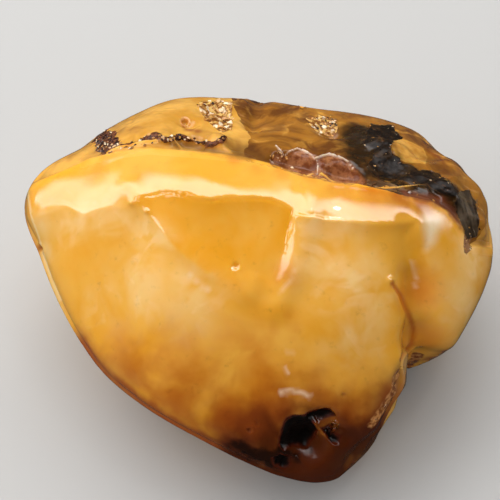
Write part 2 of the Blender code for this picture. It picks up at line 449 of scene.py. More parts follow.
SEAM = [(394, 282), (404, 295), (411, 313), (414, 332), (413, 346), (405, 361)]
NOTCH_CRUST = [(418, 357), (409, 367), (401, 380), (396, 394), (387, 408), (376, 424)]
# the milky corner also carries a painted highlight
MILKY_HIGHLIGHT_CORNER = [(422, 218), (442, 216), (441, 226), (434, 240), (427, 248)]
GOLD_FACET = RIDGE_LEFT[::-1] + GOLD_TOP + RIDGE_MIDDLE
WORN_EDGE = LEFT_TOP + GOLD_TOP[1:] + RIGHT_TOP[1:]
BELOW_EDGE = WORN_EDGE + [(470, 330), (470, 520), (-40, 520), (-40, 216)]
LEFT_OF_SIDE = SIDE_EDGE + [(60, 345), (0, 300), (0, 188)]
print("worn edge:", len(WORN_EDGE), "corners from", WORN_EDGE[0], "to", WORN_EDGE[-1])

# %% [markdown]
# ## Pits, trims and marks behind
#
# Small pits and beads break the polish here and there. A few wide, shallow trims push the skin in or out where
# the plain solid is a little too full or too flat. A mark that is seen only from behind is given by compass and
# slope from the heart of the lump.

# %% Pits, trims and flecks
# each pit: across, down, radius in units, and depth in mm, below zero for a bead
PITS = [(236, 266, 3.4, 0.30), (393, 281, 3.0, -0.35), (132, 203, 2.6, -0.30), (146, 211, 2.2, -0.25),
        (36, 250, 4.0, 0.4), (257, 425, 2.2, 0.3), (249, 432, 2.6, 0.3), (302, 107, 2.6, 0.35), (344, 396, 2.0, 0.2),
        (185, 122, 3.6, 0.5)]
# each trim: across, down, radius in units, and mm outwards
TRIMS = [(413, 374, 22, -1.2), (362, 458, 30, -1.2), (442, 142, 34, -0.8), (482, 196, 26, 0.8), (236, 240, 50, 0.70),
         (312, 190, 18, 0.24), (404, 233, 24, 0.50)]
# the height of the crown from left to right, in mm
CROWN = [(-14, 32.8), (-10, 33.6), (-6, 33.9), (-2, 33.95), (2, 33.9), (6, 33.7), (10, 33.35), (14, 32.8), (18, 31.8),
         (22, 30.4)]
# pale flecks in the resin, some of them painted highlights: a line, and its half width in units
FLECKS_AND_HIGHLIGHTS = [([(281, 394), (290, 391), (300, 393), (309, 397)], 1.6), ([(286, 350), (291, 354)], 1.0),
          ([(285, 368), (288, 374)], 0.8), ([(297, 269), (290, 279), (280, 291)], 0.8),
          ([(413, 261), (417, 274), (416, 288)], 0.5), ([(190, 276), (200, 284), (212, 294)], 0.6)]
print("pits and beads:", len(PITS), "trims:", len(TRIMS), "flecks:", len(FLECKS_AND_HIGHLIGHTS))

# %% Marks behind
HEART = Vector((0, 0, 17)) * MM
# each patch of crust: compass and slope, and radius in mm
BACK_CRUST = [(-165, -2, 4.2), (-153, -9, 3.0), (-178, 7, 2.2), (68, -34, 4.2), (84, -40, 3.0)]
# a healed crack: compass and slope of its corners
BACK_SEAM = [(-120, 34), (-138, 16), (-150, -2), (-172, -14), (178, -30)]


def from_heart(points):
    """Which way each point lies from the heart of the lump."""
    ways = points - np.array(HEART)
    return ways / np.linalg.norm(ways, axis=1)[:, None]


print("crust behind:", len(BACK_CRUST), "patches")

# %% [markdown]
# ## A finer skin
#
# The copy is subdivided in edit mode, with smoothness 1, so that new points follow the curve. Each pass only
# splits faces that are still too long for what they have to carry: about a third of a millimetre in the crust,
# half a millimetre beside an edge or a pit, and about a millimetre on plain skin. Splitting every face as finely
# as the crust needs would take several times as many, and slow every later step down.

# %% How long a face may stay
# the longest face in mm: behind, in front, beside a mark, in the crust and in the crust behind
BEHIND, IN_FRONT, BESIDE_MARK, IN_CRUST, IN_BACK_CRUST = 1.25, 0.75, 0.45, 0.30, 0.5
HEART_TO_SKIN = 0.024  # m, about the same all round
# the lines that want finer faces beside them, and how far to each side in units
FINE_LINES = [(WORN_EDGE, 5), (RIDGE_LEFT, 5), (RIDGE_MIDDLE, 5), (SIDE_EDGE, 5), (SEAM, 4), (NOTCH_CRUST, 4)]


def wanted_length(middles, ways):
    """How long a face may stay at each place, in mm."""
    spots = on_sheet(middles)
    facing_us = facing_eye(middles, ways)
    length = np.where(facing_us > -0.05, IN_FRONT, BEHIND)
    past_mark = np.full(len(middles), 1e9)
    for line, reach in FINE_LINES:
        past_mark = np.minimum(past_mark, along(line, spots) - reach)
    for across_at, down_at, radius, _ in PITS:
        past_mark = np.minimum(past_mark, np.linalg.norm(spots - (across_at, down_at), axis=1) - 2 * radius)
    length = np.where((past_mark < 0) & (facing_us > -0.05), BESIDE_MARK, length)
    crusty = inside(RAW_FACE, spots) > -4
    for outline in CAVITIES:
        crusty |= inside(outline, spots) > -5
    length = np.where(crusty & (facing_us > -0.1), IN_CRUST, length)
    outward = from_heart(middles)
    for compass, slope, radius in BACK_CRUST:
        near_patch = outward @ way_of(compass, slope) > math.cos(radius * MM * 1.2 / HEART_TO_SKIN)
        length = np.where(near_patch, IN_BACK_CRUST, length)
    return length


print("face length: from", IN_CRUST, "to", BEHIND, "mm")


# %% Splitting the long faces
def split_long_faces(obj):
    """Subdivides the faces that are longer than they may stay, and tells how many there were."""
    mesh = obj.data
    count = len(mesh.polygons)
    middles, ways, areas = np.empty(3 * count), np.empty(3 * count), np.empty(count)
    mesh.polygons.foreach_get("center", middles)
    mesh.polygons.foreach_get("normal", ways)
    mesh.polygons.foreach_get("area", areas)
    lengths = np.sqrt(areas * 4 / math.sqrt(3)) / MM
    chosen = lengths > wanted_length(middles.reshape(-1, 3), ways.reshape(-1, 3))
    bpy.ops.object.mode_set(mode="EDIT")
    bpy.ops.mesh.select_mode(type="FACE")
    bpy.ops.mesh.select_all(action="DESELECT")
    bpy.ops.object.mode_set(mode="OBJECT")
    mesh.polygons.foreach_set("select", chosen)
    bpy.ops.object.mode_set(mode="EDIT")
    bpy.ops.mesh.subdivide(number_cuts=1, smoothness=1)
    bpy.ops.mesh.select_all(action="SELECT")
    bpy.ops.mesh.quads_convert_to_tris()
    bpy.ops.mesh.vertices_smooth(factor=0.4, repeat=2)
    bpy.ops.object.mode_set(mode="OBJECT")
    return int(chosen.sum())


print("faces split in the first pass:", split_long_faces(body), "and in the second:", split_long_faces(body))

# %% [markdown]
# ## The rim behind the crown
#
# The worn crown runs up to a crisp rim before the raw face drops away. The solid steps down a little before that
# rim, so the skin between the crown and the rim is lifted on to one smooth line, and then split once more.


# %% The rim
def build_out_rim(obj):
    """Carries the crown back as far as its rim, over the step that the plain solid has. Tells by how many mm."""
    points = points_of(obj)
    right, back_of = points[:, 0] / MM, points[:, 1] / MM
    # past 2.5 mm behind the middle the crown falls away in a curve
    crown = np.interp(right, *zip(*CROWN)) - 0.035 * np.maximum(back_of - 2.5, 0) ** 2
    carried = points.copy()
    carried[:, 2] = crown * MM
    share = ease((1.0 - inside(RAW_FACE, on_sheet(carried))) / 3)
    share *= ease((right + 12) / 4) * ease((17 - right) / 4)
    share *= (points[:, 1] > 1 * MM) * (points[:, 1] < 9 * MM) * (points[:, 2] > 24 * MM)
    lift = share * np.maximum(carried[:, 2] - points[:, 2], 0)
    points[:, 2] += lift
    obj.data.vertices.foreach_set("co", points.ravel())
    obj.data.update()
    return round(lift.max() / MM, 2)


print("rim built out by up to", build_out_rim(body), "mm")
print("faces split in the last pass:", split_long_faces(body))
bpy.ops.object.shade_smooth()
print("skin:", len(body.data.vertices), "vertices,", len(body.data.polygons), "triangles")

# %% [markdown]
# ## What every point knows
#
# Every point of the skin gets three things worked out once: where it is, where it is seen on the sheet, and
# whether it faces the eye. Noise is read at the point itself, so a pattern wraps round the stone without a seam.

# %% Places and noise
places = points_of(body)
print("the rounded skin dips under the flat foot by", round(-1000 * places[:, 2].min(), 2), "mm and is laid flat")
places[:, 2] = np.maximum(places[:, 2], 0)
directions = normals_of(body)
outward = from_heart(places)
sheet = on_sheet(places)
across, down = sheet.T
facing = facing_eye(places, directions)
seen = ease((facing + 0.02) / 0.14)


def cloud(length, seed, octaves=1):
    """Soft noise between about -1 and 1 at every point, with lumps of this length in millimetres."""
    shift = Vector((seed * 7.3, seed * 3.1, seed * 5.7))
    scale = 1 / (length * MM)
    if octaves == 1:
        return np.array([noise.noise(Vector(point) * scale + shift) for point in places])
    return np.array([noise.fractal(Vector(point) * scale + shift, 0.8, 2.0, octaves) for point in places])


coarse, fine, tiny = cloud(2.4, 1, 3), cloud(1.0, 2, 2), cloud(0.5, 3)
ragged_edge = coarse + 0.6 * fine
print("noise read at", len(places), "points")

# %% [markdown]
# ## Masks
#
# A mask is a number between 0 and 1 at every point: how much of a mark lies there. Patches and strokes are cut
# from the outlines with a ragged edge. Blobs and washes start at a spot of the sheet too, but spread on the skin
# itself, so they run on over the edges of the lump and look right from any side.


# %% Patches and strokes
def patch(outline, soft=2.0, ragged=2.0):
    """1 inside an outline, with a ragged edge, in sheet units."""
    return ease(0.5 + (inside(outline, sheet) + ragged * ragged_edge) / (2 * soft)) * seen


def stroke(line, width, soft=1.5, ragged=1.0):
    """1 along a line that is drawn on the sheet, in sheet units."""
    return ease(0.5 + (width - along(line, sheet) + ragged * ragged_edge) / (2 * soft)) * seen


def skin_at(across_at, down_at):
    """The point of the skin that is seen at a spot on the sheet."""
    far = np.linalg.norm(sheet - (across_at, down_at), axis=1) + 1000 * (facing < 0.03)
    return places[np.argmin(far)]


def blobs(spots, wobble=0.18):
    """Soft round spots on the skin: across, down, radius in sheet units, and strength. They wrap round edges."""
    total = np.zeros(len(places))
    for across_at, down_at, radius, strength in spots:
        reach = np.linalg.norm(places - skin_at(across_at, down_at), axis=1) / (radius * UNIT)
        total = np.maximum(total, strength * ease(1.0 - reach + wobble * coarse))
    return total


def wash(line, width, soft):
    """A soft band on the skin along a line that is drawn on the sheet. It wraps round edges."""
    far = along([skin_at(*spot) for spot in line], places) / UNIT
    return ease((width + soft - far) / soft + 0.25 * coarse)


def skin_towards(compass, slope):
    """The point of the skin that lies that way from the heart."""
    return places[np.argmax(outward @ way_of(compass, slope))]


def back_spot(compass, slope, radius):
    reach = np.linalg.norm(places - skin_towards(compass, slope), axis=1) / (radius * MM)
    return ease(1.3 - reach + 0.9 * coarse + 0.3 * fine)


highest = Vector(places[np.argmax(places[:, 2])]) / MM
print("highest point of the skin, mm:", [round(value, 1) for value in highest])

# %% Crust, pocket and cavities
past_rim = inside(RAW_FACE, sheet)
raw = ease(0.5 + past_rim / 2.4) * seen
back_crust = np.max([back_spot(*spot) for spot in BACK_CRUST], axis=0)
left_rind = np.maximum(patch(LEFT_RIND, 2.5, 3.5), stroke(LEDGE, 1.9, 1.2, 2.2))
rind = np.maximum(patch(RIND, 1.2, 1.6), patch(FIBRE_BLOCK, 1.0, 0.8))
tail = np.maximum(patch(BLOCK_TAIL, 2.0, 1.5), 0.7 * left_rind)
flakes = np.maximum(patch(FLAKE_BED, 1.4, 2.0), patch(SPARKLE_BED, 1.4, 1.8))
honey = patch(HONEY, 3.0, 2.5) * raw * (1 - patch(WINDOW_PATCH, 1.0, 0.8))
# the pocket's raised lips, painted pale as a highlight where they catch the light
lips_and_highlight = np.max([stroke(line, 0.3, 0.5, 0.35) for line in POCKET_LIPS], axis=0)
pocket = patch(POCKET, 2.5, 0.6)
cavity = np.max([ease((inside(outline, sheet) + 2.0 + 1.4 * ragged_edge) / 8) for outline in CAVITIES], axis=0) * seen
print("points in the raw face:", int((raw > 0.5).sum()), "and in the rind:", int((rind > 0.5).sum()))

# %% [markdown]
# ## The relief of the worn facets
#
# Every mark moves the skin a little in or out along its normals. The worn facets are shallow benches that start at
# a crisp line, as wear leaves them, so the skin drops fast below the worn edge and then eases back. Real facets
# could be cut flat with bisect, but wear rounds them, and a cut would spoil the fine mesh.

# %% The worn facets' relief
LEFT_RIDGE, GOLD_FOOT = 134, 276  # across, and down
LEFT_SINK, FRONT_SINK = 0.62, 0.50  # mm
LEFT_RUN, FRONT_RUN, CROWN_RUN, FADE_RUN = 20, 11, 12, 190  # how far below the edge a slope runs, in units
gold = (inside(GOLD_FACET, sheet) > 0) * ease((GOLD_FOOT - down) / 50) * seen
height = 0.07 * cloud(9.0, 11) + 0.02 * cloud(3.6, 12)
below = inside(BELOW_EDGE, sheet) - 2.6
from_edge = np.sqrt(below * below + 1.2) - math.sqrt(1.2)
crest = 0.02 + 0.05 * ease((across - 190) / 40) + 0.15 * ease((across - 322) / 40)
sink = np.where(across < LEFT_RIDGE, LEFT_SINK, FRONT_SINK) * np.exp(-((from_edge / FADE_RUN) ** 2))
facet = crest - (crest + sink) * (1 - np.exp(-from_edge / np.where(across < LEFT_RIDGE, LEFT_RUN, FRONT_RUN)))
crown = crest * np.exp(-from_edge / CROWN_RUN)
height += np.where(below > 0, facet, crown) * ease((452 - across) / 46) * seen
print("facets from", round(height.min(), 2), "to", round(height.max(), 2), "mm")

# %% The ridges, the side edge and the seams
# in mm
GOLD_SINK, SIDE_SINK, SEAM_SINK, BACK_SEAM_SINK = 0.16, 0.22, 0.16, 0.14
RIDGE_RISE, RIGHT_RISE = 0.05, 0.25
from_ridge, from_middle = along(RIDGE_LEFT, sheet), along(RIDGE_MIDDLE, sheet)
height -= GOLD_SINK * gold * (1 - np.exp(-from_ridge / 7))
height += RIDGE_RISE * np.exp(-((from_ridge / 4) ** 2)) * seen
past_middle = np.where(gold > 0, 0, from_middle) / (3 + 11 * ease((down - 218) / 40))
beside = ease((300 - down) / 30) * ease((down - 206) / 14) * (below > 0) * (gold == 0) * (across > 250) * seen
height += RIGHT_RISE * beside * np.clip(past_middle, 0, 1) * np.exp(-((from_middle / 60) ** 2))
height -= SIDE_SINK * (1 - np.exp(-along(SIDE_EDGE, sheet) / 5)) * (inside(LEFT_OF_SIDE, sheet) > 0) * seen
for across_at, down_at, radius, push in TRIMS:
    height += push * ease(1.2 - np.linalg.norm(places - skin_at(across_at, down_at), axis=1) / (radius * UNIT))
from_seam = along(SEAM, sheet)
from_back_seam = along([skin_towards(*corner) for corner in BACK_SEAM], places) / MM + 0.5 * coarse
height -= SEAM_SINK * ease(1 - from_seam / 3.0) * seen
height -= BACK_SEAM_SINK * ease(1 - from_back_seam / 0.7)
print("with ridges and seams from", round(height.min(), 2), "to", round(height.max(), 2), "mm")

# %% [markdown]
# ## The relief of the crust
#
# Crust stands proud by a few tenths of a millimetre, and pits, the open pocket and the burnt cavities sink. Each
# pit gets a thin raised lip, as a burst bubble leaves. The raw face starts with a short drop behind its rim. Near
# the flat foot the relief fades out, so that the stone still stands flat.

# %% The pits, and the drop behind the rim
PIT_EDGE = 1.25  # where a pit's lip stands, as a share of its radius
LIP_RISE = 0.3  # how high it stands, as a share of the pit's depth
RIM_DROP = 0.50  # mm
for across_at, down_at, radius, depth in PITS:
    reach = np.linalg.norm(sheet - (across_at, down_at), axis=1) / radius
    height -= depth * ease(PIT_EDGE - reach) * seen
    height += LIP_RISE * abs(depth) * ease(1 - abs(reach - PIT_EDGE) / 0.5) * seen
height -= RIM_DROP * ease(past_rim / 3.5) * ease((16 - past_rim) / 12) * seen
print("with pits from", round(height.min(), 2), "to", round(height.max(), 2), "mm")

# %% The relief of the crust
# where, and how many mm it adds: all over, and by coarse, fine and tiny noise
CRUST_RELIEF = [
    (raw * (1 - honey), 0, 0, 0.04, 0),
    (honey, 0, 0, 0.05, 0),
    (rind, 0.03, 0.05, 0.05, 0.05),
    (left_rind, 0.10, 0, 0.12, 0.08),
    (back_crust, 0.06, 0.10, 0.08, 0),
    (flakes, 0, 0.08, 0.10, 0.06),
    (lips_and_highlight, 0.16, 0, 0, 0),
    (pocket * (1 - lips_and_highlight), -0.30, 0, 0, 0),
    (cavity, -0.60, -0.25, -0.15, 0),
]
FOOT_FADE = 1.5 * MM
for share, plain, by_coarse, by_fine, by_tiny in CRUST_RELIEF:
    height += share * (plain + by_coarse * coarse + by_fine * fine + by_tiny * tiny)
height *= ease(places[:, 2] / FOOT_FADE)
moved = places + directions * (height * MM)[:, None]
moved[:, 2] = np.maximum(moved[:, 2], 0)
body.data.vertices.foreach_set("co", moved.ravel())
body.data.update()
print("relief from", round(height.min(), 2), "to", round(height.max(), 2), "mm")

# %% [markdown]
# ## Where the tones of the resin lie
#
# Amber is not one colour. Bubbles make it milky, clear resin is golden, and age and heat turn it orange, brown and
# black. Where each tone lies is kept on the mesh as masks, mostly as soft spots on the skin. Behind, where the
# spots don't reach, noise spreads the same tones in lumps of about a centimetre. The deep orange, burnt and smoky
# spots also carry painted shade, on the lower front, round the tip and along the crown beside the rim.

# %% Milky, golden, deep orange and painted shade
PALE_SPOTS = [(150, 240, 42, 0.9), (135, 280, 56, 1), (190, 300, 56, 0.8), (108, 310, 46, 0.5), (345, 235, 40, 0.6),
              (350, 275, 52, 1), (378, 310, 46, 0.8), (305, 262, 36, 0.9), (345, 345, 34, 0.7), (455, 300, 60, 0.6),
              (470, 262, 40, 0.9), (372, 330, 40, 0.6), (70, 225, 44, 0.9), (110, 222, 44, 0.9), (42, 225, 26, 1),
              (44, 250, 20, 0.8), (312, 228, 24, 0.9), (340, 228, 26, 0.8), (460, 300, 40, 0.9), (432, 262, 26, 0.6),
              (346, 345, 30, 0.6)]
GOLD_SPOTS = [(75, 250, 44, 0.5), (238, 272, 34, 0.8), (266, 274, 30, 0.8), (420, 262, 34, 0.9), (405, 300, 26, 0.8),
              (412, 240, 22, 0.6)]
# deep orange spots; those low on the front and along the crown beside the rim are painted shade
DEEP_AND_SHADE_SPOTS = [(250, 345, 60, 0.5), (250, 400, 90, 0.9), (180, 380, 70, 0.8), (330, 400, 60, 0.7), (120, 345, 44, 0.4),
              (420, 290, 34, 0.9), (425, 340, 34, 0.6), (286, 272, 20, 0.6), (291, 318, 11, 0.7), (293, 328, 12, 0.8),
              (291, 337, 10, 0.5), (372, 193, 30, 1), (345, 188, 22, 0.8), (235, 160, 12, 0.6), (255, 166, 14, 0.8),
              (280, 172, 14, 0.8), (310, 178, 14, 0.6), (150, 176, 30, 0.35), (95, 172, 26, 0.3)]
away = 1 - seen
golden = ease((inside(GOLD_FACET, sheet) + 2.5) / 5) * ease((304 - down) / 60) * seen
paint = {
    "pale": 0.8 * away * ease((cloud(13, 21) + 0.05) / 0.4) + blobs(PALE_SPOTS),
    "gold": np.maximum(golden, blobs(GOLD_SPOTS)),
    # deep orange resin, with painted shade on the lower front and beside the rim
    "deep_and_shade": 0.7 * away * ease((cloud(15, 22) - 0.02) / 0.35) + blobs(DEEP_AND_SHADE_SPOTS),
}
print("spots of milk, gold and orange:", len(PALE_SPOTS), len(GOLD_SPOTS), len(DEEP_AND_SHADE_SPOTS))

# %% The burnt tip's masks, with painted shade
# burnt brown along the lower left edge and round the tip, partly painted shade on faces turned down; the two spots at
# the right end of the crown are painted shade
BURNT_AND_SHADED_FOOT = [(80, 346), (100, 370), (132, 396), (166, 420), (206, 443), (236, 458)]
BURNT_AND_SHADE_SPOTS = [(130, 375, 46, 0.7), (175, 405, 48, 0.7), (225, 425, 44, 0.9), (275, 415, 40, 0.8),
               (310, 400, 34, 0.5), (345, 425, 40, 0.9), (372, 430, 44, 1), (450, 352, 20, 0.7), (432, 362, 18, 0.9),
               (392, 398, 28, 0.8), (400, 197, 24, 0.9), (422, 201, 24, 0.9), (110, 372, 40, 0.5),
               (192, 424, 30, 0.7)]
SCORCH_SPOTS = [(302, 474, 116, 1.1), (244, 456, 62, 1), (350, 446, 76, 1), (384, 416, 62, 0.9), (400, 392, 40, 0.7),
                (232, 446, 56, 1), (262, 432, 52, 1), (254, 430, 44, 1.3), (284, 418, 30, 0.9), (290, 420, 36, 0.7),
                (320, 420, 44, 0.8), (346, 418, 40, 0.8)]
# smoky brown at the tip, partly painted shade on its downward faces
SMOKE_AND_SHADE_SPOTS = [(302, 476, 92, 1.5), (244, 458, 46, 1.3), (268, 448, 38, 1), (350, 456, 62, 1.3), (376, 432, 42, 0.9),
               (374, 450, 48, 1.3)]
# burnt brown, and painted shade on the lower edge and at the crown's right end
paint["burnt_and_shade"] = np.maximum(0.95 * wash(BURNT_AND_SHADED_FOOT, 4, 24), blobs(BURNT_AND_SHADE_SPOTS))
paint["scorch"] = blobs(SCORCH_SPOTS, 0.10)
# smoky brown, and painted shade on the tip's downward faces
paint["smoke_and_shade"] = blobs(SMOKE_AND_SHADE_SPOTS, 0.14)
paint["char"] = patch(CHAR, 9.0, 7.0)
paint["cavity"] = cavity
paint["notch"] = wash(NOTCH_CRUST, 2.5, 7)
print("burnt, scorched and smoky spots:", len(BURNT_AND_SHADE_SPOTS), len(SCORCH_SPOTS), len(SMOKE_AND_SHADE_SPOTS))

# %% [markdown]
# ## Where crust and small marks lie
#
# The crust masks are used twice: they have raised the skin, and now they colour it. Shade that light alone would
# leave too weak in such shallow relief is painted a little darker, below the ledge, under the rind and in the
# pocket. Worn amber also has small marks, such as pale flecks, a milky corner and stained pits. Some pale strokes
# are painted highlights: a few of the flecks, a line along the side edge, the milky corner and the pocket's lips.

# %% The raw face's masks
RIND_FOOT = [(360, 132), (366, 150), (364, 166), (396, 176), (424, 186), (446, 198)]
RIM_SHADE = [(246, 150), (262, 158), (300, 170), (345, 180), (380, 186), (412, 194)]
FIBRE_SPOTS = [(240, 120, 26, 1), (250, 140, 20, 0.8), (440, 160, 44, 0.9), (470, 190, 34, 0.9), (360, 116, 30, 0.5)]
paint.update({
    "raw": raw, "rind": rind, "left_rind": left_rind, "tail": tail, "flakes": flakes, "honey": honey, "lips_and_highlight": lips_and_highlight,
    "pocket": pocket, "back_crust": back_crust, "block": patch(FIBRE_BLOCK, 0.01, 2.0), "fibres": blobs(FIBRE_SPOTS),
    "grey": patch(GREY_BAND, 1.5, 1.2), "red": patch(RED_BAND, 2.5, 2.0), "window": patch(WINDOW_PATCH, 1.5, 1.2),
    "ledge_shadow": stroke(LEDGE_SHADOW, 2.5, 5.0, 1.5), "rind_shadow": wash(RIND_FOOT, 10, 26) * raw,
})
paint["shade"] = np.maximum.reduce([wash(RIM_SHADE, 3, 22), 0.8 * wash([(352, 128), (356, 150), (366, 172)], 4, 14),
                                    0.8 * wash([(430, 160), (446, 172), (462, 188), (478, 208)], 3, 12)]) * raw
print("masks so far:", len(paint))

# %% The small marks
STAIN_SPOTS = [(190, 130, 9, 1), (197, 131, 7, 0.8), (184, 128, 5, 0.7), (36, 250, 5, 1)]
worn_rim = np.maximum(ease((270 - across) / 40) * ease((across - 70) / 20), ease((across - 392) / 20))
from_stained_pit = np.linalg.norm(sheet - (185, 122), axis=1)
paint["seam"] = np.maximum(ease(1.2 - from_seam / 3.0) * seen, 0.8 * ease(1.1 - from_back_seam / 0.9))
# pale flecks in the resin; some are painted highlights, on the middle ridge and low on the front
paint["fleck_and_highlight"] = np.max([stroke(line, width, 2.4, 0.5) for line, width in FLECKS_AND_HIGHLIGHTS], axis=0)
# milky resin at the right end of the crown, with a painted highlight on it
paint["milk_and_highlight"] = patch(MILKY_HIGHLIGHT_CORNER, 8.0, 1.0)
paint["near_rim"] = ease(0.5 + (past_rim + 6) / 4) * seen
paint["rim_wear"] = ease(1.8 - abs(past_rim) / 5) * worn_rim * seen
# a painted highlight along the crisp side edge
paint["edge_highlight"] = ease(1.3 - along(SIDE_EDGE[:6], sheet) / 1.1) * seen
paint["stain"] = blobs(STAIN_SPOTS)
paint["pit_rim"] = ease(1.4 - abs(from_stained_pit - 4.2) / 1.0 + 0.5 * fine) * seen
for name, values in paint.items():
    kept = body.data.attributes.new(name, "FLOAT", "POINT")
    kept.data.foreach_set("value", np.clip(values, 0, 1).astype(np.float32))
stencil = body.data.attributes.new("stencil", "FLOAT_VECTOR", "POINT")
stencil.data.foreach_set("vector", np.column_stack([sheet * UNIT, 0 * facing]).astype(np.float32).ravel())
print("masks:", ", ".join(paint))

# %% [markdown]
# ## The finish
#
# One layered material covers the whole lump, because on the real stone the clear resin, the milky resin and the
# crust are one body that changes from place to place. The layers go on from the resin up: cloudy base, milky and
# golden clouds, deeper orange and burnt brown, then the raw face and its crust, and the dark cavities last.

# %% Patterns
amber = bpy.data.materials.new("amber")
amber.use_nodes = True
tree = amber.node_tree
shader = tree.nodes["Principled BSDF"]
spot = node("TexCoord").outputs["Object"]
flat_spot = node("Attribute", attribute_name="stencil").outputs["Vector"]


def mask(name):
    return node("Attribute", attribute_name=name).outputs["Fac"]


def grain(length, detail=2.0, rough=0.5, twist=0.0, at=None):
    """Noise with lumps of this length in millimetres."""
    made = node("TexNoise")
    feed(made.inputs["Vector"], at or spot)
    feed(made.inputs["Scale"], 1 / (length * MM))
    feed(made.inputs["Detail"], detail)
    feed(made.inputs["Roughness"], rough)
    feed(made.inputs["Distortion"], twist)
    return made.outputs["Fac"]


def drawn_out(angle, stretch):
    """The stencil's coordinates turned by an angle and drawn out along it, for fibres. Angle 0 runs across."""
    made = node("Mapping", vector_type="TEXTURE")
    feed(made.inputs["Vector"], flat_spot)
    made.inputs["Rotation"].default_value = (0, 0, math.radians(angle))
    made.inputs["Scale"].default_value = (stretch, 1, 1)
    return made.outputs["Vector"]


def stirred(pattern, value, amount):
    """A value made uneven by a pattern."""
    return maths("MULTIPLY_ADD", maths("SUBTRACT", pattern, 0.5), amount, value)


def torn(name, amount=0.6, length=0.5, low=0.42, high=0.58):
    """A mask with its edge torn by fine grain."""
    return between(stirred(grain(length, 3), mask(name), amount), low, high)


print("patterns: grain, and fibres drawn out along the crust")

# %% Resin tones
swirl, wisps, veils = grain(15, 3.0, 0.5, 1.4), grain(7, 3.0, 0.5, 0.7), grain(5.5, 2.0, 0.5, 1.3)
notch_tone = blend(between(grain(0.7, 3.0), 0.4, 0.6), srgb(136, 74, 30), srgb(206, 142, 78))
smoky_and_shade = between(stirred(grain(2.5, 4.0, 0.6), mask("smoke_and_shade"), 0.4), 0.0, 1.0)
resin_coats = [
    (times(mask("pale"), between(wisps, 0.30, 0.62)), (246, 200, 124)),
    (times(mask("pale"), between(veils, 0.48, 0.64), 0.45), (255, 216, 156)),
    (times(mask("gold"), between(wisps, 0.85, 0.30)), (232, 156, 14)),
    # deep orange, and painted shade low on the front and beside the rim
    (times(mask("deep_and_shade"), between(wisps, 0.20, 0.62)), (206, 118, 22)),
    # burnt brown, and painted shade on the lower edge and at the crown's right end
    (times(mask("burnt_and_shade"), between(wisps, 0.10, 0.50)), (172, 84, 22)),
    (times(mask("seam"), 0.75), (196, 96, 18)),
    (times(mask("scorch"), between(wisps, 0.05, 0.45)), (132, 60, 18)),
    # smoky brown, and painted shade on the tip's downward faces
    (times(smoky_and_shade, 0.95), (74, 29, 9)),
    (torn("notch", 0.8, 0.9, 0.25, 0.85), notch_tone),
]
colour = blend(between(swirl, 0.35, 0.65), srgb(236, 166, 46), srgb(241, 178, 72))
colour = lay(colour, resin_coats)
print("resin:", len(resin_coats), "coats over the cloudy base")

# %% [markdown]
# ## The raw face
#
# The raw face shows three kinds of ground: straw-coloured skin, darker and clearer honey with fibres in it, and
# the brown floor of the pocket. Rind and flakes lie on top. Each is two tones that take turns where a grain says,
# because crust is never even.

# %% Tones of the raw face
skin_tone = blend(between(grain(5, 3.0, 0.5), 0.35, 0.65), srgb(200, 142, 50), srgb(224, 168, 76))
skin_tone = lay(skin_tone, [(between(grain(9, 3.0, 0.5, 1.0), 0.5, 0.75), (178, 124, 50))])
honey_tone = blend(between(grain(9, 4.0, 0.55, 1.4), 0.35, 0.62), srgb(104, 60, 20), srgb(164, 108, 34))
dark_fibres = between(grain(1.3, 4.0, 0.6, 1.0, drawn_out(52, 6)), 0.50, 0.70)
pale_fibres = between(grain(0.8, 3.0, 0.6, 1.0, drawn_out(30, 9)), 0.60, 0.72)
honey_tone = lay(honey_tone, [
    (between(grain(4.5, 3.0, 0.5, 1.5), 0.52, 0.80), (206, 148, 58)),
    (times(dark_fibres, mask("fibres")), (112, 50, 22)),
    (times(pale_fibres, mask("fibres"), 0.7), (206, 150, 84)),
])
pocket_tone = blend(between(grain(1.3, 4.0, 0.6), 0.38, 0.62), srgb(112, 60, 30), srgb(162, 106, 66))
window_tone = blend(between(grain(1.6, 3.0), 0.35, 0.65), srgb(186, 128, 50), srgb(212, 158, 70))
print("grounds: skin, honey, pocket and window")

# %% Tones of the crust
fibre = grain(0.45, 4.0, 0.65, 0.6, drawn_out(34, 7))
rind_tone = blend(between(grain(2.6, 4.0, 0.6), 0.46, 0.68), srgb(22, 12, 4), srgb(60, 39, 14))
rind_tone = lay(rind_tone, [(between(fibre, 0.58, 0.72), (88, 58, 32)), (between(fibre, 0.73, 0.78), (168, 142, 108))])
left_tone = blend(between(grain(0.8, 4.0, 0.6), 0.40, 0.62), srgb(46, 20, 12), srgb(126, 74, 44))
flake_tone = blend(between(grain(0.7, 4.0, 0.6), 0.46, 0.60), srgb(140, 86, 34), srgb(236, 188, 106))
grey_tone = blend(between(grain(0.6, 3.0, 0.6, 0.5, drawn_out(18, 6)), 0.4, 0.6), srgb(78, 54, 32), srgb(120, 92, 64))
back_tone = blend(between(grain(1.1, 4.0), 0.38, 0.62), srgb(60, 32, 16), srgb(150, 98, 50))
block_fibre = grain(0.5, 4.0, 0.6, 0.6, drawn_out(72, 9))
print("crusts: rind, left rind, flakes, grey band and the crust behind")

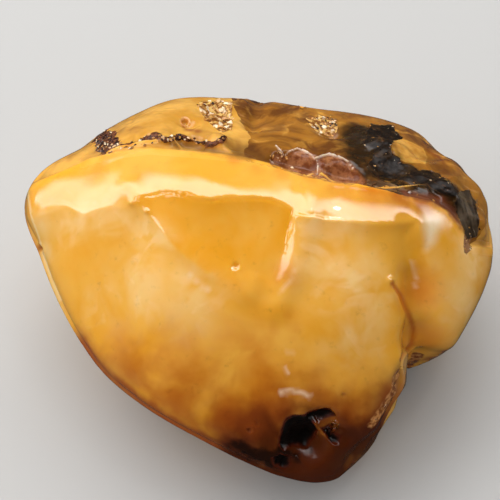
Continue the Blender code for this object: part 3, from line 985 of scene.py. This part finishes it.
# %% The layers of the raw face
raw_coats = [
    (mask("raw"), skin_tone),
    (torn("honey", 0.3), honey_tone),
    (mask("window"), window_tone),
    (times(mask("shade"), 0.65), (84, 48, 16)),
    (times(mask("rind_shadow"), between(grain(2.2, 3.0), 0.10, 0.50)), (44, 28, 9)),
    (times(mask("stain"), 0.8), (132, 60, 32)),
    (times(mask("pit_rim"), 0.6), (222, 160, 112)),
    # painted highlight along the side edge
    (times(mask("edge_highlight"), 0.8), (255, 222, 160)),
    # pale flecks and painted highlights
    (times(mask("fleck_and_highlight"), 0.65), (255, 228, 198)),
    # milky resin and a painted highlight
    (times(mask("milk_and_highlight"), 0.75), (255, 236, 200)),
    (times(mask("ledge_shadow"), 0.75), (74, 38, 18)),
    (mask("pocket"), pocket_tone),
    (torn("grey", 0.4), grey_tone),
    (times(mask("red"), 0.8), (112, 56, 30)),
]
colour = lay(colour, raw_coats)
print("raw face:", len(raw_coats), "coats")

# %% The layers of the crust and the cavities
hollow = stirred(grain(1.2, 4.0, 0.6), mask("cavity"), 0.9)
crust_coats = [
    (torn("flakes", 0.5), flake_tone),
    (torn("tail", 0.7), (150, 104, 66)),
    (torn("left_rind", 0.9, 0.6), left_tone),
    (torn("rind", 0.9, 0.4), rind_tone),
    (times(mask("block"), between(block_fibre, 0.34, 0.66), 0.8), (98, 82, 62)),
    (times(mask("block"), between(block_fibre, 0.66, 0.72), 0.7), (206, 190, 168)),
    (torn("back_crust", 0.8, 1.2), back_tone),
    # painted highlight on the pocket's lips
    (mask("lips_and_highlight"), (236, 216, 196)),
    (times(torn("char", 1.0, 1.4, 0.30, 0.95), 0.9), (26, 11, 5)),
    (between(mask("cavity"), 0.0, 0.22), (86, 30, 10)),
    (between(hollow, 0.06, 0.74), (15, 7, 4)),
]
feed(shader.inputs["Base Color"], lay(colour, crust_coats))
print("crust and cavities:", len(crust_coats), "coats")

# %% [markdown]
# ## The gloss
#
# Worn amber takes a high polish, so the smooth skin gets a clear coat. The broken crust, the open pits and the
# burnt tip have none. They stay matt, and a fine bump breaks up what little they mirror. Light soaks in a little
# way and comes out warmer, which subsurface scattering gives, with red going deeper than blue.

# %% Gloss and fine bump
POLISHED = 0.09
# how much rougher than the polished skin each mask is
ROUGHER = {"raw": 0.08, "back_crust": 0.20, "smoke_and_shade": 0.10, "rim_wear": 0.40, "rind": 0.30, "cavity": 0.35,
           "pocket": 0.06}
roughness = POLISHED
for name, extra in ROUGHER.items():
    roughness = maths("MULTIPLY_ADD", mask(name), extra, roughness)
feed(shader.inputs["Roughness"], roughness)
crusty = most(mask("left_rind"), times(mask("rind"), 0.3), mask("flakes"), mask("back_crust"))
bump = node("Bump")
feed(bump.inputs["Strength"], 0.6)
feed(bump.inputs["Distance"], 0.25 * MM)
feed(bump.inputs["Height"], times(maths("ADD", grain(0.30, 3.0, 0.6), fibre), crusty))
feed(shader.inputs["Normal"], bump.outputs["Normal"])
dull = most(crusty, mask("rind"), mask("cavity"), mask("smoke_and_shade"), mask("pocket"), times(mask("near_rim"), 0.9))
feed(shader.inputs["Coat Weight"], maths("SUBTRACT", 1.0, dull))
print("polished:", POLISHED, "roughest mask:", max(ROUGHER, key=ROUGHER.get))

# %% Plain settings of the amber
AMBER_IOR = 1.54
amber_settings = {
    "IOR": AMBER_IOR, "Specular IOR Level": 0.2, "Coat Roughness": 0.04, "Subsurface Weight": 0.3,
    "Subsurface Radius": (1.0, 0.45, 0.12), "Subsurface Scale": 0.003,
}
for name, value in amber_settings.items():
    shader.inputs[name].default_value = value
body.data.materials.clear()
body.data.materials.append(amber)
print("amber material:", len(tree.nodes), "nodes")

# %% [markdown]
# ## Loose crumbs of crust
#
# Dried crust breaks into thin flakes and small grains, and a few glassy bubbles stand in the open pocket. They
# could be painted, but real ones cast shadows and glint. One flake, one grain and one bubble are modelled, then
# copied on to the skin where the masks say that crust is. Every copy has its own mesh, so each can be bent.

# %% One flake, one grain, one bubble
CRUMB_RADIUS = 0.5 * MM


def begin(add, name, **size):
    """Adds a primitive with a name and leaves all of it selected in edit mode."""
    bpy.ops.object.select_all(action="DESELECT")
    add(radius=CRUMB_RADIUS, **size)
    made = bpy.context.active_object
    made.name = name
    bpy.ops.object.mode_set(mode="EDIT")
    bpy.ops.mesh.select_all(action="SELECT")
    return made


flake = begin(bpy.ops.mesh.primitive_circle_add, "one flake", vertices=7, fill_type="NGON")
bpy.ops.mesh.extrude_region_move(TRANSFORM_OT_translate={"value": (0, 0, 0.12 * MM)})
bpy.ops.mesh.inset(thickness=0.13 * MM, depth=0.05 * MM)
bpy.ops.mesh.select_all(action="SELECT")
bpy.ops.mesh.normals_make_consistent(inside=False)
bpy.ops.object.mode_set(mode="OBJECT")
grain_model = begin(bpy.ops.mesh.primitive_ico_sphere_add, "one grain", subdivisions=1)
bpy.ops.transform.resize(value=(1.0, 0.75, 0.55))
bpy.ops.object.mode_set(mode="OBJECT")
bubble = begin(bpy.ops.mesh.primitive_ico_sphere_add, "one bubble", subdivisions=2)
bpy.ops.transform.resize(value=(1.0, 0.92, 0.85))
bpy.ops.object.mode_set(mode="OBJECT")
bpy.ops.object.shade_smooth()
print("models:", [(model.name, len(model.data.vertices)) for model in (flake, grain_model, bubble)])

# %% [markdown]
# ## Scattering the crumbs
#
# A copy lies flat on the skin, leans by chance, is stretched and bent a little, and sinks in slightly, so that
# none of them floats. Where a mask is strong more of them land. Each copy also carries its own tone.

# %% One way to scatter
skin_ways = normals_of(body)
LOWEST = 1.2 * MM  # no crumb lies lower than this, so that none gets under the foot
crumbs = []


def jitter(amount):
    return Vector([random.gauss(0, amount) for _ in range(3)])


def scatter(model, count, likely, sizes, tones, lean=0.35, crooked=0.12, sunk=0.05):
    """Copies a model to random places. Sizes are in mm, tones run from 0, dark, to 1, cream."""
    share = np.clip(likely, 0, 1) ** 2 * (moved[:, 2] > LOWEST)
    for place in random.choices(range(len(moved)), weights=share, k=count):
        size = random.uniform(*sizes)
        out = Vector(skin_ways[place])
        tilted = (out + jitter(lean)).normalized()
        copy = model.copy()
        copy.data = model.data.copy()
        for point in copy.data.vertices:
            point.co += jitter(crooked * CRUMB_RADIUS)
        stretch = Matrix.Diagonal((size * random.uniform(0.7, 1.4), size, size * random.uniform(0.7, 1.2), 1))
        spin = Matrix.Rotation(random.uniform(0, 2 * math.pi), 4, "Z")
        strewn = jitter(0.12 * MM)
        strewn -= out * strewn.dot(out)
        set_down = Matrix.Translation(Vector(moved[place]) + strewn - out * sunk * MM)
        copy.data.transform(set_down @ tilted.to_track_quat("Z", "Y").to_matrix().to_4x4() @ spin @ stretch)
        tone = copy.data.attributes.new("tone", "FLOAT", "POINT")
        tone.data.foreach_set("value", [random.uniform(*tones)] * len(copy.data.vertices))
        bpy.context.scene.collection.objects.link(copy)
        crumbs.append(copy)


print("crumbs lie above", round(LOWEST / MM, 1), "mm")

# %% Crumbs on the skin
bed = patch(FLAKE_BED, 1.0, 1.0)
sparkles = patch(SPARKLE_BED, 1.0, 1.0)
ledge = stroke(LEDGE, 2.8, 1.8, 0.8)
plain_tail = tail * seen * (facing > 0.05) * (left_rind < 0.3)
DARK, PALE = (0.0, 0.25), (0.55, 1.0)
scatter(flake, 62, bed, (0.45, 1.10), PALE, 0.35)
scatter(flake, 8, bed, (0.35, 0.7), DARK)
scatter(flake, 44, sparkles, (0.25, 0.70), PALE, 0.45)
scatter(flake, 10, sparkles, (0.3, 0.6), DARK)
scatter(flake, 64, ledge, (0.25, 0.60), (0.45, 1.0), 0.4)
scatter(grain_model, 60, ledge, (0.25, 0.55), (0.0, 0.35))
scatter(grain_model, 46, patch(LEFT_RIND, 2.0, 2.0), (0.30, 0.70), (0.0, 0.40))
scatter(flake, 12, patch(LEFT_RIND, 2.0, 1.0), (0.25, 0.50), (0.75, 1.0), 0.5)
scatter(flake, 26, rind, (0.22, 0.50), (0.0, 0.30), 0.15)
scatter(flake, 14, rind, (0.18, 0.46), (0.5, 0.9), 0.4)
scatter(grain_model, 34, rind, (0.12, 0.24), (0.75, 1.0))
scatter(flake, 16, patch(GREY_BAND, 1.5, 1.2), (0.3, 0.8), (0.3, 0.6), 0.3)
scatter(grain_model, 34, plain_tail, (0.18, 0.45), (0.25, 0.95))
scatter(grain_model, 50, stroke(NOTCH_CRUST, 2.5, 2.0, 1.0), (0.16, 0.40), (0.35, 0.9))
scatter(grain_model, 60, back_crust, (0.30, 0.75), (0.05, 0.45))
scatter(flake, 40, back_crust, (0.40, 1.0), (0.10, 0.50), 0.3)
scatter(bubble, 16, patch(BUBBLE_BED, 1.0, 0.5), (0.20, 0.55), (0.55, 0.9), 0.1, 0.02)
scatter(grain_model, 30, pocket * (1 - lips_and_highlight), (0.08, 0.18), (0.85, 1.0))
print("crumbs:", len(crumbs))

# %% One piece of crumbs
bpy.ops.object.select_all(action="DESELECT")
for copy in crumbs:
    copy.select_set(True)
bpy.context.view_layer.objects.active = crumbs[0]
bpy.ops.object.join()
crust_grains = bpy.context.active_object
crust_grains.name = "crust_grains"
for model in (flake, grain_model, bubble):
    bpy.data.objects.remove(model)
print("crust_grains:", len(crust_grains.data.vertices), "vertices,", len(crust_grains.data.polygons), "faces")

# %% [markdown]
# ## The finish of the crumbs
#
# Each crumb carries one tone. It runs from nearly black crust through brown and honey to cream, with fine grain on
# top, and the flakes are smooth enough to glint as thin flakes of resin do.

# %% The crumbs' finish
crumb_paint = bpy.data.materials.new("crust crumbs")
crumb_paint.use_nodes = True
tree = crumb_paint.node_tree
crumb_shader = tree.nodes["Principled BSDF"]
spot = node("TexCoord").outputs["Object"]
crumb_tone = stirred(grain(0.3, 3.0), mask("tone"), 0.3)
crumb_colour = blend(between(crumb_tone, 0.0, 0.35), srgb(24, 14, 8), srgb(96, 58, 28))
crumb_colour = lay(crumb_colour, [(between(crumb_tone, 0.35, 0.70), (208, 150, 72)),
                                  (between(crumb_tone, 0.70, 1.0), (255, 240, 206))])
feed(crumb_shader.inputs["Base Color"], crumb_colour)
feed(crumb_shader.inputs["Roughness"], maths("MULTIPLY_ADD", grain(0.2), 0.2, 0.12))
crumb_shader.inputs["IOR"].default_value = AMBER_IOR
crust_grains.data.materials.clear()
crust_grains.data.materials.append(crumb_paint)
print("crumb material:", len(tree.nodes), "nodes")

# %% [markdown]
# ## Where it belongs
#
# The stone is one rigid body, so the skin and its crumbs both ride the root. The skin takes the place of the solid.

# %% Where it belongs
for piece in (body, crust_grains):
    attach(piece, "root")
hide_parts("amber_lump")
